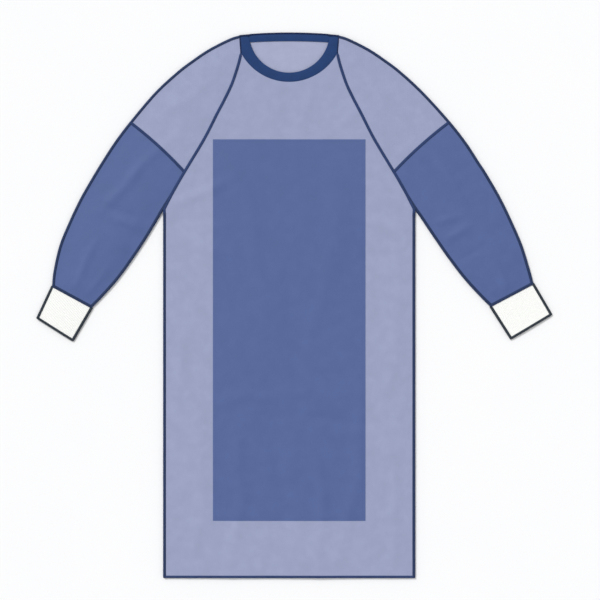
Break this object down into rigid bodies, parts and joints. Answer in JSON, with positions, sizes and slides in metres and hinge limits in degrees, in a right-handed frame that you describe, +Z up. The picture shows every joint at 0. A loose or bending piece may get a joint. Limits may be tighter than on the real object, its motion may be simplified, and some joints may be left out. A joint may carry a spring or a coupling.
{
  "type": "surgical gown",
  "caption": "Long-sleeved surgical gown laid flat, face up: raglan sleeves, dark front and forearm reinforcement, round bound neck, white knitted cuffs.",
  "frame": {"origin": "on the underside that the gown rests on, on its centre line, halfway between the hem and the back of the neck", "axes": "+Y from the hem to the neck, +X to the right as seen from above, +Z up out of the face-up front"},
  "size_m": [1.228, 1.2999, 0.007],
  "materials": {
    "light_cloth": "matt nonwoven cloth with a fine bonded emboss, light grey-blue",
    "dark_cloth": "smoother coated nonwoven cloth, slate blue",
    "band_cloth": "folded navy binding cloth, matt",
    "rib_knit": "white rib knit, soft and matt"
  },
  "bodies": {
    "root": {"front_panel": "light_cloth", "front_reinforcement": "dark_cloth", "back_panel_left": "light_cloth", "back_panel_right": "light_cloth", "upper_sleeve_front_left": "light_cloth", "upper_sleeve_back_left": "light_cloth", "upper_sleeve_front_right": "light_cloth", "upper_sleeve_back_right": "light_cloth", "lower_sleeve_front_left": "dark_cloth", "lower_sleeve_back_left": "dark_cloth", "lower_sleeve_front_right": "dark_cloth", "lower_sleeve_back_right": "dark_cloth", "neck_band_front": "band_cloth", "neck_band_back_left": "band_cloth", "neck_band_back_right": "band_cloth", "cuff_left": "rib_knit", "cuff_right": "rib_knit"}
  },
  "joints": []
}
